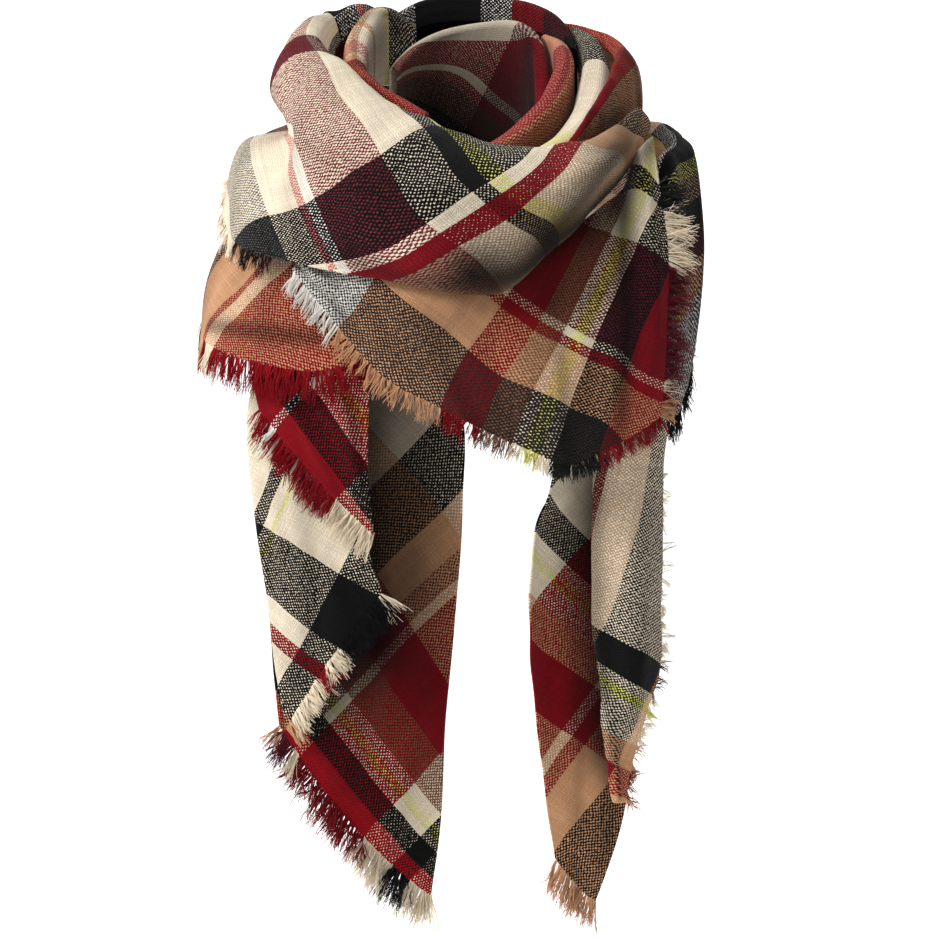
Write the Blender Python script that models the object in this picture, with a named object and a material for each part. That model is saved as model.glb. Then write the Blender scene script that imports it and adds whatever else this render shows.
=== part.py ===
"""A square tartan blanket scarf, folded corner to corner and worn wound once round the neck.

Each stretch of cloth that shows is one thin closed wall. The stretches round the neck are worked out from
sections, one to a row, at named angles about the neck: 0 is the wearer's left hand side as seen from in front
(+X), 90 the back, 180 the other side and 270 the front. Those that hang are worked out from rows across them.
Sizes in the tables are millimetres.
"""
import math

import bmesh
import bpy
import numpy as np

MM = 0.001
CLOTH = 2.2          # thickness of one wall of cloth
SEAM = 0.9           # gap between a cloth's edge and the strip that carries its fringe
STRIP = 3.0          # width of that strip

# half width and depth of the chest form that the hanging cloth lies on
CHEST_WIDE = 205.0
CHEST_DEEP = 172.0
CHEST_POWER = 2.6

# ---------------------------------------------------------------------------------------------------------
# Stretches round the neck. Columns: angle, then radius and height at each place along the section.
# ---------------------------------------------------------------------------------------------------------

# front cowl: inner edge, crest of the neckline, brow, bulge, belly (or waist), fold (or shoulder) and hem
FRONT_COWL = [
    (152, 114, 100, 122, 120, 134, 119, 148, 80, 143, 38, 157, 18, 176, 10),
    (166, 110, 84, 121, 110, 139, 110, 155, 68, 142, 30, 170, 16, 194, -8),
    (180, 105, 68, 119, 97, 142, 96, 155, 58, 138, 24, 176, 12, 194, -36),
    (195, 100, 57, 114, 86, 142, 84, 157, 50, 144, 16, 184, 2, 199, -56),
    (210, 96, 47, 110, 75, 143, 65, 162, 40, 158, 10, 190, -18, 203, -76),
    (225, 93, 39, 108, 63, 144, 48, 169, 20, 178, -8, 190, -46, 195, -88),
    (240, 94, 28, 107, 50, 142, 38, 170, 8, 184, -22, 191, -60, 182, -98),
    (255, 94, 22, 108, 40, 142, 26, 172, -6, 187, -38, 188, -80, 166, -106),
    (270, 98, 8, 111, 25, 142, 12, 171, -14, 186, -46, 182, -86, 156, -113),
    (285, 107, -6, 117, 9, 146, -2, 170, -22, 180, -50, 166, -86, 140, -112),
    (300, 119, -10, 128, 3, 150, -6, 168, -22, 172, -44, 154, -74, 134, -95),
    (315, 131, -4, 139, 8, 156, 0, 166, -12, 164, -28, 148, -52, 138, -68),
    (330, 140, 8, 148, 20, 160, 12, 165, 0, 160, -12, 148, -30, 140, -42),
    (344, 147, 24, 153, 34, 161, 28, 164, 14, 160, 2, 151, -12, 145, -22),
]

# under drape: top edge under the cowl, shoulder, side and hem
UNDER_DRAPE = [
    (158, 164, -24, 181, -36, 196, -60, 200, -82),
    (174, 168, -34, 187, -52, 205, -84, 208, -112),
    (190, 171, -42, 190, -66, 211, -106, 215, -138),
    (205, 170, -58, 187, -82, 213, -122, 224, -155),
    (220, 159, -68, 173, -92, 200, -134, 210, -170),
    (235, 153, -82, 163, -104, 175, -140, 184, -175),
    (250, 143, -90, 149, -108, 156, -132, 159, -155),
]

# over wrap: it leaves the cowl behind one shoulder, crosses the nape and falls over the other shoulder
OVER_WRAP = [
    (-32, 166, -112, 169, -110, 174, -122, 176, -138, 176, -158, 174, -184),
    (-25, 178, -14, 183, -10, 190, -26, 195, -88, 196, -154, 191, -216),
    (-13, 178, 2, 185, 8, 197, -6, 202, -60, 200, -130, 193, -196),
    (0, 165, 17, 174, 25, 190, 12, 199, -34, 200, -92, 196, -150),
    (18, 155, 23, 163, 32, 178, 16, 190, -24, 194, -64, 195, -100),
    (40, 150, 32, 157, 42, 168, 22, 178, -16, 184, -50, 187, -82),
    (65, 144, 46, 150, 54, 157, 28, 164, -10, 171, -42, 177, -74),
    (90, 134, 78, 140, 88, 149, 56, 156, 6, 164, -32, 172, -66),
    (115, 121, 108, 128, 118, 142, 82, 150, 26, 157, -14, 168, -48),
    (135, 112, 120, 119, 133, 136, 112, 150, 52, 156, 8, 171, -20),
    (151.3, 114, 100, 122, 120, 134, 119, 148, 70, 150, 24, 176, 10),
]

# under wrap: the outer roll beside the neckline, then across the nape below the over wrap to the far shoulder
UNDER_WRAP = [
    (312, 119, -8, 122, -2, 125, -8, 124, -22, 121, -38),
    (326, 123, 22, 128, 30, 131, 22, 130, 0, 127, -24),
    (340, 128, 52, 133, 61, 139, 50, 138, 20, 133, -10),
    (352, 131, 74, 137, 84, 148, 66, 149, 32, 142, -4),
    (366, 132, 84, 138, 94, 150, 74, 154, 36, 146, -4),
    (385, 130, 96, 136, 106, 145, 84, 147, 36, 141, -8),
    (410, 122, 106, 130, 116, 141, 92, 143, 38, 143, -14),
    (440, 114, 92, 120, 102, 130, 76, 136, 30, 142, -24),
    (470, 113, 70, 117, 80, 124, 58, 131, 14, 146, -36),
    (500, 114, 64, 118, 76, 126, 52, 132, 6, 148, -42),
    (530, 109, 46, 113, 56, 121, 36, 129, -6, 154, -50),
    (556, 108, 26, 112, 36, 122, 14, 134, -24, 158, -64),
]

# Rolls. Columns: angle, radius to the middle of the roll, half its width, height of its crest, and how far its
# inner and outer sides drop
ROLL_OUTER = [
    (308, 104, 5, 2, 12, 26),
    (322, 110.5, 10, 17, 22, 40),
    (338, 112.5, 12.4, 38, 28, 52),
    (352, 113.5, 12.4, 62, 32, 58),
    (366, 116, 10.5, 86, 32, 66),
    (379, 118, 8, 102, 32, 70),
    (392, 117, 6, 111, 30, 70),
]
ROLL_INNER = [
    (284, 86, 5.5, 4, 14, 34),
    (303, 85, 8, 20, 22, 40),
    (322, 85.5, 8.6, 40, 28, 50),
    (344, 86, 8.4, 63, 36, 60),
    (362, 89, 7.2, 84, 40, 70),
    (378, 89, 5.2, 98, 38, 70),
    (394, 89, 4, 104, 32, 60),
]
ROLL_LEFT = [
    (116, 88.5, 4.5, 115, 60, 60),
    (130, 89, 7, 121, 66, 70),
    (144, 91, 10, 117, 62, 70),
    (160, 91, 10.5, 100, 52, 62),
    (178, 87, 9, 80, 40, 52),
    (205, 80, 7, 62, 28, 50),
    (230, 80, 6, 47, 22, 48),
    (252, 83, 4.5, 32, 16, 42),
]

# the innermost turn behind the neck, and the high collar outside it
NAPE_WRAP = [
    (-12, 70, 4, 30, 40, 20),
    (2, 70.5, 4.5, 56, 66, 26),
    (16, 72, 4.5, 84, 92, 30),
    (34, 75.5, 5, 106, 112, 32),
    (54, 80, 6, 117, 124, 34),
    (76, 81, 6, 116, 124, 34),
    (100, 77, 5, 109, 118, 32),
    (122, 73, 4.5, 96, 104, 30),
    (142, 70, 4.5, 76, 74, 26),
]
COLLAR = [
    (19, 101.5, 4, 92, 20, 44),
    (30, 102, 4, 113, 20, 58),
    (44, 102, 4, 128, 20, 70),
    (62, 102, 4, 137, 20, 76),
    (86, 102, 4, 141, 20, 76),
    (108, 102, 4, 141, 20, 76),
    (128, 101, 4, 137, 20, 70),
]

# ---------------------------------------------------------------------------------------------------------
# Hanging stretches
# ---------------------------------------------------------------------------------------------------------

# bib: one row to a station across it. Columns: x and height at the top, middle and bottom, depth inside the
# chest form at each of the three
BIB = [
    (-126, -84, -129, -89, -132, -96, 21, 19, 16),
    (-98, -84, -101, -108, -106, -128, 18, 14, 9),
    (-52, -90, -56, -140, -62, -178, 20, 9, 6),
    (-4, -92, -8, -156, -14, -205, 32, 8, 4),
    (42, -88, 33, -166, 22, -223, 54, 10, 4),
    (84, -68, 73, -166, 58, -239, 70, 16, 6),
    (114, -46, 102, -158, 86, -251, 74, 20, 8),
    (136, -34, 128, -138, 112, -242, 60, 20, 8),
    (150, -16, 150, -114, 138, -230, 36, 13, 7),
    (159, 6, 170, -92, 164, -214, 30, 6, 5),
]

# Panels, a row to a height. Columns: height, x and depth of one edge, then of the other edge, how far the
# middle bows forward, and how far it dips
LEFT_TAIL = [
    (-50, -138, -54, -50, -62, -90, 2, 0),
    (-110, -152, -80, -120, -26, -96, -2, 0),
    (-184, -167, -94, -204, 2, -98, -12, 0),
    (-246, -168, -98, -290, 3, -86, -10, 0),
    (-312, -161, -102, -390, -4, -64, -4, 0),
    (-372, -154, -104, -470, -11, -52, 2, 0),
    (-424, -150, -105, -550, -15, -50, 2, 5),
    (-466, -146, -106, -614, -23, -58, 2, 14),
]
LEFT_FLAP = [
    (-150, -158, -108, -150, -84, -131, 4, 0),
    (-206, -169, -110, -196, -84, -133, 6, 0),
    (-270, -168, -112, -236, -83, -134, 8, 0),
    (-340, -158, -113, -276, -82, -134, 8, 0),
    (-408, -149, -113, -318, -74, -134, 7, 0),
    (-468, -140, -113, -356, -62, -134, 5, -6),
]
LEFT_TONGUE = [
    (-140, -156, -124, -140, -72, -139, 3, 0),
    (-164, -163, -126, -196, -72, -141, 5, 0),
    (-186, -164, -127, -252, -73, -142, 5, 0),
    (-208, -160, -129, -308, -68, -143, 4, 4),
]

# right tail: a straight folded back panel, and a roll that stands forward of it
RIGHT_TAIL = [
    (-76, 99, -62, -68, 137, -40, 2, 0),
    (-116, 94, -84, -116, 139, -62, 0, 0),
    (-190, 86, -108, -190, 146, -86, -6, 0),
    (-264, 77, -116, -264, 152, -92, -14, 0),
    (-306, 64, -116, -310, 152, -92, -16, 0),
    (-372, 59, -116, -376, 148, -92, -16, 0),
    (-440, 62, -116, -450, 144, -94, -12, 0),
    (-510, 70, -114, -540, 135, -98, -4, 0),
    (-574, 79, -112, -610, 112, -106, 0, 4),
]
RIGHT_ROLL = [
    (-198, 103, -119, -202, 167, -98, 12, 0),
    (-240, 111, -120, -240, 168, -102, 16, 0),
    (-300, 109, -120, -300, 165, -103, 18, 0),
    (-376, 110, -120, -376, 166, -104, 19, 0),
    (-426, 115, -120, -424, 163, -104, 17, 0),
    (-464, 118, -120, -460, 152, -106, 13, 0),
    (-500, 122, -119, -498, 141, -109, 7, 0),
    (-528, 126, -117, -528, 136, -112, 3, 0),
]


# ---------------------------------------------------------------------------------------------------------
# Curves and sections
# ---------------------------------------------------------------------------------------------------------

def row_at(table, share):
    """The row at a share (0 to 1) of the way down a table, eased from row to row."""
    place = share * (len(table) - 1)
    i = min(int(place), len(table) - 2)
    return eased([table[max(i - 1, 0)], table[i], table[i + 1], table[min(i + 2, len(table) - 1)]], place - i)


def eased(four, t):
    a, b, c, d = (np.array(p, float) for p in four)
    m0 = (c - a) / 2
    m1 = (d - b) / 2
    return ((2 * t ** 3 - 3 * t ** 2 + 1) * b + (t ** 3 - 2 * t ** 2 + t) * m0
            + (3 * t ** 2 - 2 * t ** 3) * c + (t ** 3 - t ** 2) * m1)


def round_neck(table):
    """A sheet whose sections stand at angles about the neck."""
    def place(u, v):
        row = row_at(table, u)
        radius, height = row_at(row[1:].reshape(-1, 2), v)
        angle = math.radians(row[0])
        return np.array((radius * math.cos(angle), radius * math.sin(angle), height))
    return place


def rolled(table):
    """A roll about the neck: up one side, over the crest and down the other."""
    def place(u, v):
        angle, middle, half, crest, inner, outer = row_at(table, u)
        if v < 0.25:
            radius = middle - half
            height = crest - half - (inner - half) * (1 - v / 0.25)
        elif v < 0.625:
            turn = math.pi * (v - 0.25) / 0.375
            radius = middle - half * math.cos(turn)
            height = crest - half + half * math.sin(turn)
        else:
            radius = middle + half
            height = crest - half - (outer - half) * (v - 0.625) / 0.375
        angle = math.radians(angle)
        return np.array((radius * math.cos(angle), radius * math.sin(angle), height))
    return place


def chest(x, inset):
    wide = CHEST_WIDE - inset
    return -(CHEST_DEEP - inset) * max(1 - abs(x / wide) ** CHEST_POWER, 0.0) ** (1 / CHEST_POWER)


def bib_place(u, v):
    row = row_at(BIB, u)
    x, height = row_at(row[:6].reshape(3, 2), v)
    inset = row_at(row[6:].reshape(3, 1), v)[0]
    return np.array((x, chest(x, inset), height))


def hanging(table):
    """A panel worked out from rows down it; it bows forward between its two edges."""
    def place(u, v):
        z0, x0, y0, z1, x1, y1, bow, dip = row_at(table, v)
        arch = math.sin(math.pi * min(max(u, 0.0), 1.0)) ** 0.8
        return np.array((x0 + (x1 - x0) * u, y0 + (y1 - y0) * u - bow * arch, z0 + (z1 - z0) * u - dip * arch))
    return place


# ---------------------------------------------------------------------------------------------------------
# Solids
# ---------------------------------------------------------------------------------------------------------

def material(name, colour):
    mat = bpy.data.materials.get(name) or bpy.data.materials.new(name)
    mat.use_nodes = True
    shader = mat.node_tree.nodes["Principled BSDF"]
    shader.inputs["Base Color"].default_value = (*colour, 1.0)
    shader.inputs["Roughness"].default_value = 0.9
    return mat


def add_object(name, points, faces, mat):
    mesh = bpy.data.meshes.new(name)
    mesh.from_pydata([tuple(np.array(p) * MM) for p in points], [], faces)
    shape = bmesh.new()
    shape.from_mesh(mesh)
    bmesh.ops.triangulate(shape, faces=shape.faces)
    bmesh.ops.recalc_face_normals(shape, faces=shape.faces)
    if shape.calc_volume(signed=True) < 0:
        bmesh.ops.reverse_faces(shape, faces=shape.faces)
    shape.to_mesh(mesh)
    shape.free()
    mesh.materials.append(mat)
    obj = bpy.data.objects.new(name, mesh)
    bpy.context.collection.objects.link(obj)
    return obj


def grid_normals(grid):
    along = np.gradient(grid, axis=0)
    across = np.gradient(grid, axis=1)
    n = np.cross(along, across)
    return n / np.linalg.norm(n, axis=2, keepdims=True)


def wall(name, place, nu, nv, mat, thick=CLOTH):
    """A closed wall of even thickness on a sheet given by place(u, v)."""
    grid = np.array([[place(i / nu, j / nv) for j in range(nv + 1)] for i in range(nu + 1)])
    grids[name] = grid
    n = grid_normals(grid) * thick / 2
    points = np.concatenate(((grid + n).reshape(-1, 3), (grid - n).reshape(-1, 3)))
    size = (nu + 1) * (nv + 1)

    def at(i, j, side=0):
        return side * size + i * (nv + 1) + j

    faces = []
    for i in range(nu):
        for j in range(nv):
            faces.append((at(i, j), at(i + 1, j), at(i + 1, j + 1), at(i, j + 1)))
            faces.append((at(i, j, 1), at(i, j + 1, 1), at(i + 1, j + 1, 1), at(i + 1, j, 1)))
    rim = [(i, 0) for i in range(nu)] + [(nu, j) for j in range(nv)]
    rim += [(i, nv) for i in range(nu, 0, -1)] + [(0, j) for j in range(nv, 0, -1)]
    for a, b in zip(rim, rim[1:] + rim[:1]):
        faces.append((at(*a), at(*a, 1), at(*b, 1), at(*b)))
    return add_object(name, points, faces, mat)


def along_line(points, share):
    place = share * (len(points) - 1)
    i = min(int(place), len(points) - 2)
    return points[i] + (points[i + 1] - points[i]) * (place - i)


def fringe(name, cloth, side, start, end, locks, length, hang, mat, lean=0.0):
    """A narrow strip just past a cloth's edge, with locks of yarn standing on it.

    side names the edge, and start and end are shares of its length. hang pulls the locks towards the ground;
    lean moves their tips off the cloth's face.
    """
    thick = CLOTH * 0.8
    count = 2 * locks + 1
    grid = grids[cloth]
    rim, inside = {
        "low": (grid[:, -1], grid[:, -2]),
        "far": (grid[-1], grid[-2]),
        "near": (grid[0], grid[1]),
    }[side]
    roots = []
    for k in range(count + 1):
        t = start + (end - start) * k / count
        here = along_line(rim, t)
        out = here - along_line(inside, t)
        along = along_line(rim, min(t + 0.03, 1.0)) - along_line(rim, max(t - 0.03, 0.0))
        along /= np.linalg.norm(along)
        out -= along * np.dot(out, along)
        out /= np.linalg.norm(out)
        normal = np.cross(along, out)
        roots.append((here, out, along, normal))
    points = []
    for here, out, along, normal in roots:
        for far in (SEAM, SEAM + STRIP):
            for side in (0.5, -0.5):
                points.append(here + out * far + normal * side * thick)
    faces = [(0, 1, 3, 2)]
    last = count * 4
    faces.append((last, last + 2, last + 3, last + 1))
    for k in range(count):
        a = 4 * k
        b = a + 4
        faces.append((a, a + 2, b + 2, b))
        faces.append((a + 1, b + 1, b + 3, a + 3))
        faces.append((a, b, b + 1, a + 1))
        if k % 2 == 0:
            faces.append((a + 2, a + 3, b + 3, b + 2))
            continue
        here, out, along, normal = roots[k]
        vary = 0.8 + 0.2 * math.sin(k * 2.3)
        way = out + np.array((0.0, 0.0, -hang)) + along * 0.2 * math.sin(k * 1.7) + normal * lean
        way *= length * vary / np.linalg.norm(way)
        mid = (points[a + 2] + points[a + 3] + points[b + 2] + points[b + 3]) / 4
        tips = []
        for corner in (a + 2, a + 3, b + 3, b + 2):
            tips.append(len(points) + len(tips))
        points.extend(mid + way + (points[c] - mid) * 0.4 for c in (a + 2, a + 3, b + 3, b + 2))
        root = (a + 2, a + 3, b + 3, b + 2)
        for m in range(4):
            faces.append((root[m], root[(m + 1) % 4], tips[(m + 1) % 4], tips[m]))
        faces.append(tuple(tips))
    return add_object(name, points, faces, mat)


for old in list(bpy.data.objects):
    bpy.data.objects.remove(old, do_unlink=True)

check = material("tartan_check", (0.62, 0.48, 0.36))
yarn = material("frayed_yarn", (0.75, 0.68, 0.55))

grids = {}

wall("front_cowl", round_neck(FRONT_COWL), 32, 14, check)
wall("bib", bib_place, 22, 9, check)
wall("under_drape", round_neck(UNDER_DRAPE), 12, 6, check)
wall("over_wrap", round_neck(OVER_WRAP), 24, 9, check)
wall("under_wrap", round_neck(UNDER_WRAP), 28, 8, check)
wall("roll_right_outer", rolled(ROLL_OUTER), 10, 8, check)
wall("roll_right_inner", rolled(ROLL_INNER), 13, 8, check)
wall("roll_left", rolled(ROLL_LEFT), 12, 8, check)
wall("nape_wrap", rolled(NAPE_WRAP), 7, 8, check)
wall("collar", rolled(COLLAR), 8, 8, check)
wall("left_tail", hanging(LEFT_TAIL), 8, 11, check)
wall("left_tail_flap", hanging(LEFT_FLAP), 6, 9, check)
wall("left_tail_tongue", hanging(LEFT_TONGUE), 6, 5, check)
wall("right_tail", hanging(RIGHT_TAIL), 6, 12, check)
wall("right_tail_roll", hanging(RIGHT_ROLL), 7, 10, check)

fringe("fringe_cowl", "front_cowl", "low", 0.01, 0.35, 20, 15, 0.2, yarn)
fringe("fringe_under_drape", "under_drape", "low", 0.01, 0.99, 26, 20, 0.6, yarn)
fringe("fringe_bib_left", "bib", "low", 0.02, 0.98, 36, 16, 0.3, yarn)
fringe("fringe_bib_right", "bib", "far", 0.5, 0.98, 12, 22, 0.3, yarn)
fringe("fringe_over_wrap", "over_wrap", "low", 0.05, 0.99, 39, 16, 0.5, yarn)
fringe("fringe_under_wrap", "under_wrap", "low", 0.68, 0.99, 12, 14, 0.5, yarn)
fringe("fringe_left_tail", "left_tail", "low", 0.01, 0.99, 20, 20, 0.5, yarn)
fringe("fringe_left_flap", "left_tail_flap", "low", 0.05, 0.99, 15, 15, 0.3, yarn)
fringe("fringe_left_tongue", "left_tail_tongue", "low", 0.02, 0.98, 14, 15, 0.6, yarn)
fringe("fringe_right_tail", "right_tail", "low", 0.02, 0.98, 5, 12, 0.6, yarn)
fringe("fringe_right_roll", "right_tail_roll", "far", 0.30, 0.98, 18, 14, 0.2, yarn)
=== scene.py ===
"""Looks of a square tartan blanket scarf, folded corner to corner and worn wound once round the neck.

Every stretch of cloth is a thin double-sided shell on its solid's form, with soft folds laid on it, and every
frayed edge is a row of loose yarns. Sizes in the tables are millimetres unless a note says otherwise.
"""
import math

import bpy
import numpy as np
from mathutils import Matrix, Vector


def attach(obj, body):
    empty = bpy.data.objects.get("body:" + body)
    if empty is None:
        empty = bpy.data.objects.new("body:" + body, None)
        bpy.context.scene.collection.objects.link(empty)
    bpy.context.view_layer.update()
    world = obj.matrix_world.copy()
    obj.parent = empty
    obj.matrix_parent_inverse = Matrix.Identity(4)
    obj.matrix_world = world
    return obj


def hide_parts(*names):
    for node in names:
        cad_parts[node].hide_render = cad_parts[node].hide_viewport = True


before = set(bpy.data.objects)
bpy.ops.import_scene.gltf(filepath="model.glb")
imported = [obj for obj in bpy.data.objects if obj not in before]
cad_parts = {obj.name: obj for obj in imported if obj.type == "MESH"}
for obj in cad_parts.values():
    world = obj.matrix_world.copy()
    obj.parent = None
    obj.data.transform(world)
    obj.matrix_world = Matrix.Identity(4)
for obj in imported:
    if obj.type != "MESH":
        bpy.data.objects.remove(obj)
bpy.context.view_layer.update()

MM = 0.001
CLOTH = 2.0            # thickness of the cloth with its nap
CHEST_WIDE = 205.0     # half width and depth of the rounded form that the front panel lies round,
CHEST_DEEP = 172.0     # and how square it is
CHEST_POWER = 2.6

# ----------------------------------------------------------
# Form. Round the neck: angle, then radius and height at each place along the section.
# ----------------------------------------------------------

FRONT_COWL = [
    (152, 114, 100, 122, 120, 134, 119, 148, 80, 143, 38, 157, 18, 176, 10),
    (166, 110, 84, 121, 110, 139, 110, 155, 68, 142, 30, 170, 16, 194, -8),
    (180, 105, 68, 119, 97, 142, 96, 155, 58, 138, 24, 176, 12, 194, -36),
    (195, 100, 57, 114, 86, 142, 84, 157, 50, 144, 16, 184, 2, 199, -56),
    (210, 96, 47, 110, 75, 143, 65, 162, 40, 158, 10, 190, -18, 203, -76),
    (225, 93, 35, 108, 57, 144, 45, 169, 20, 178, -8, 190, -46, 195, -88),
    (240, 95, 17, 109, 38, 142, 31, 170, 7, 184, -22, 191, -60, 182, -98),
    (255, 95, 9, 110, 27, 143, 18, 172, -7, 187, -38, 188, -80, 166, -106),
    (270, 99, -4, 112, 13, 143, 6, 171, -15, 186, -46, 182, -86, 156, -113),
    (285, 108, -12, 118, 5, 146, -4, 170, -22, 180, -50, 166, -86, 140, -112),
    (300, 119, -10, 128, 3, 150, -6, 168, -20, 171, -38, 153, -64, 134, -86),
    (315, 131, -4, 139, 8, 156, 0, 166, -9, 163, -21, 147, -43, 138, -59),
    (330, 140, 8, 148, 20, 160, 12, 165, 4, 160, -5, 148, -21, 140, -33),
    (344, 147, 26, 153, 38, 161, 34, 164, 22, 160, 10, 151, -4, 145, -14),
]
UNDER_DRAPE = [
    (158, 164, -24, 181, -36, 196, -60, 200, -82),
    (174, 168, -34, 187, -52, 205, -84, 208, -112),
    (190, 171, -42, 190, -66, 211, -106, 215, -138),
    (205, 170, -58, 187, -82, 213, -122, 224, -155),
    (220, 159, -68, 173, -92, 200, -134, 210, -170),
    (235, 153, -82, 163, -104, 175, -140, 184, -175),
    (250, 143, -90, 149, -108, 156, -132, 159, -155),
]
OVER_WRAP = [
    (-32, 166, -112, 169, -110, 174, -122, 176, -138, 176, -158, 174, -184),
    (-25, 178, -14, 183, -10, 190, -26, 195, -88, 196, -154, 191, -216),
    (-13, 178, 2, 185, 8, 197, -6, 202, -60, 200, -130, 193, -196),
    (0, 165, 17, 174, 25, 190, 12, 199, -34, 200, -92, 196, -150),
    (18, 155, 23, 163, 32, 178, 16, 190, -24, 194, -64, 195, -100),
    (40, 150, 32, 157, 42, 168, 22, 178, -16, 184, -50, 187, -82),
    (65, 144, 46, 150, 54, 157, 28, 164, -10, 171, -42, 177, -74),
    (90, 134, 78, 140, 88, 149, 56, 156, 6, 164, -32, 172, -66),
    (115, 121, 108, 128, 118, 142, 82, 150, 26, 157, -14, 168, -48),
    (135, 112, 120, 119, 133, 136, 112, 150, 52, 156, 8, 171, -20),
    (151.3, 114, 100, 122, 120, 134, 119, 148, 70, 150, 24, 176, 10),
]
UNDER_WRAP = [
    (312, 119, -8, 122, -2, 125, -8, 124, -22, 121, -38),
    (326, 123, 22, 128, 30, 131, 22, 130, 0, 127, -24),
    (340, 128, 52, 133, 61, 139, 50, 138, 20, 133, -10),
    (352, 131, 74, 137, 84, 148, 66, 149, 32, 142, -4),
    (366, 132, 84, 138, 94, 150, 74, 154, 36, 146, -4),
    (385, 130, 96, 136, 106, 145, 84, 147, 36, 141, -8),
    (410, 122, 106, 130, 116, 141, 92, 143, 38, 143, -14),
    (440, 114, 92, 120, 102, 130, 76, 136, 30, 142, -24),
    (470, 113, 70, 117, 80, 124, 58, 131, 14, 146, -36),
    (500, 114, 64, 118, 76, 126, 52, 132, 6, 148, -42),
    (530, 109, 46, 113, 56, 121, 36, 129, -6, 154, -50),
    (556, 108, 26, 112, 36, 122, 14, 134, -24, 158, -64),
]

# Rolls: angle, radius to the middle, half width, height of the crest, drop of the inner and outer sides.
ROLL_OUTER = [
    (308, 104, 5, 2, 12, 26),
    (322, 110.5, 10, 17, 22, 40),
    (338, 112.5, 12.4, 38, 28, 52),
    (352, 113.5, 12.4, 62, 32, 58),
    (366, 116, 10.5, 86, 32, 66),
    (379, 118, 8, 102, 32, 70),
    (392, 117, 6, 111, 30, 70),
]
ROLL_INNER = [
    (284, 86, 5.5, 4, 14, 34),
    (303, 85, 8, 20, 22, 40),
    (322, 85.5, 8.6, 40, 28, 50),
    (344, 86, 8.4, 63, 36, 60),
    (362, 89, 7.2, 84, 40, 70),
    (378, 89, 5.2, 98, 38, 70),
    (394, 89, 4, 104, 32, 60),
]
ROLL_LEFT = [
    (116, 88.5, 4.5, 115, 60, 60),
    (130, 89, 7, 127, 66, 70),
    (144, 91, 10, 124, 62, 70),
    (160, 91, 10.5, 104, 52, 62),
    (178, 87, 9, 80, 40, 52),
    (205, 80, 7, 62, 28, 50),
    (230, 80, 6, 47, 22, 48),
    (252, 83, 4.5, 32, 16, 42),
]
NAPE_WRAP = [
    (-12, 70, 4, 30, 40, 20),
    (2, 70.5, 4.5, 56, 66, 26),
    (16, 72, 4.5, 84, 92, 30),
    (34, 75.5, 5, 106, 112, 32),
    (54, 80, 6, 117, 124, 34),
    (76, 81, 6, 116, 124, 34),
    (100, 77, 5, 109, 118, 32),
    (122, 73, 4.5, 96, 104, 30),
    (142, 70, 4.5, 76, 74, 26),
]
COLLAR = [
    (19, 101.5, 4, 92, 20, 44),
    (30, 102, 4, 113, 20, 58),
    (44, 102, 4, 128, 20, 70),
    (62, 102, 4, 137, 20, 76),
    (86, 102, 4, 141, 20, 76),
    (108, 102, 4, 137, 20, 76),
    (128, 101, 4, 117, 20, 66),
]

# Bib, a row to a station across it: x and height at the top, middle and bottom, depth inside the chest form.
BIB = [
    (-126, -84, -129, -89, -132, -96, 21, 19, 16),
    (-98, -84, -101, -108, -106, -128, 18, 14, 9),
    (-52, -90, -56, -140, -62, -178, 20, 9, 6),
    (-4, -92, -8, -156, -14, -205, 32, 8, 4),
    (42, -88, 33, -166, 22, -223, 54, 10, 4),
    (84, -68, 73, -166, 58, -239, 70, 16, 6),
    (114, -46, 102, -158, 86, -251, 74, 20, 8),
    (135, -30, 128, -138, 112, -242, 60, 20, 8),
    (148, 2, 150, -112, 138, -230, 36, 13, 7),
    (158, 12, 170, -92, 164, -214, 30, 6, 5),
]

# Panels, a row to a height: height, x and depth of one edge, then of the other, middle's bow and dip.
LEFT_TAIL = [
    (-50, -138, -54, -50, -62, -90, 2, 0),
    (-110, -152, -80, -120, -26, -96, -2, 0),
    (-184, -167, -94, -204, 2, -98, -12, 0),
    (-246, -168, -98, -290, 3, -86, -10, 0),
    (-312, -161, -102, -390, -4, -64, -4, 0),
    (-372, -154, -104, -470, -11, -52, 2, 0),
    (-424, -150, -105, -550, -15, -50, 2, 5),
    (-466, -146, -106, -614, -23, -58, 2, 14),
]
LEFT_FLAP = [
    (-150, -158, -108, -150, -84, -131, 4, 0),
    (-206, -169, -110, -196, -84, -133, 6, 0),
    (-270, -168, -112, -236, -83, -134, 8, 0),
    (-340, -158, -113, -276, -82, -134, 8, 0),
    (-408, -149, -113, -318, -74, -134, 7, 0),
    (-468, -140, -113, -356, -62, -134, 5, -6),
]
LEFT_TONGUE = [
    (-140, -156, -124, -140, -72, -139, 3, 0),
    (-164, -163, -126, -196, -72, -141, 5, 0),
    (-186, -164, -127, -252, -73, -142, 5, 0),
    (-208, -160, -129, -308, -68, -143, 4, 4),
]
RIGHT_TAIL = [
    (-76, 99, -62, -68, 137, -40, 2, 0),
    (-116, 94, -84, -116, 139, -62, 0, 0),
    (-190, 86, -108, -190, 146, -86, -6, 0),
    (-264, 77, -116, -264, 152, -92, -14, 0),
    (-306, 64, -116, -310, 152, -92, -16, 0),
    (-372, 59, -116, -376, 148, -92, -16, 0),
    (-440, 62, -116, -450, 144, -94, -12, 0),
    (-510, 70, -114, -540, 135, -98, -4, 0),
    (-574, 79, -112, -610, 112, -106, 0, 4),
]
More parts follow.
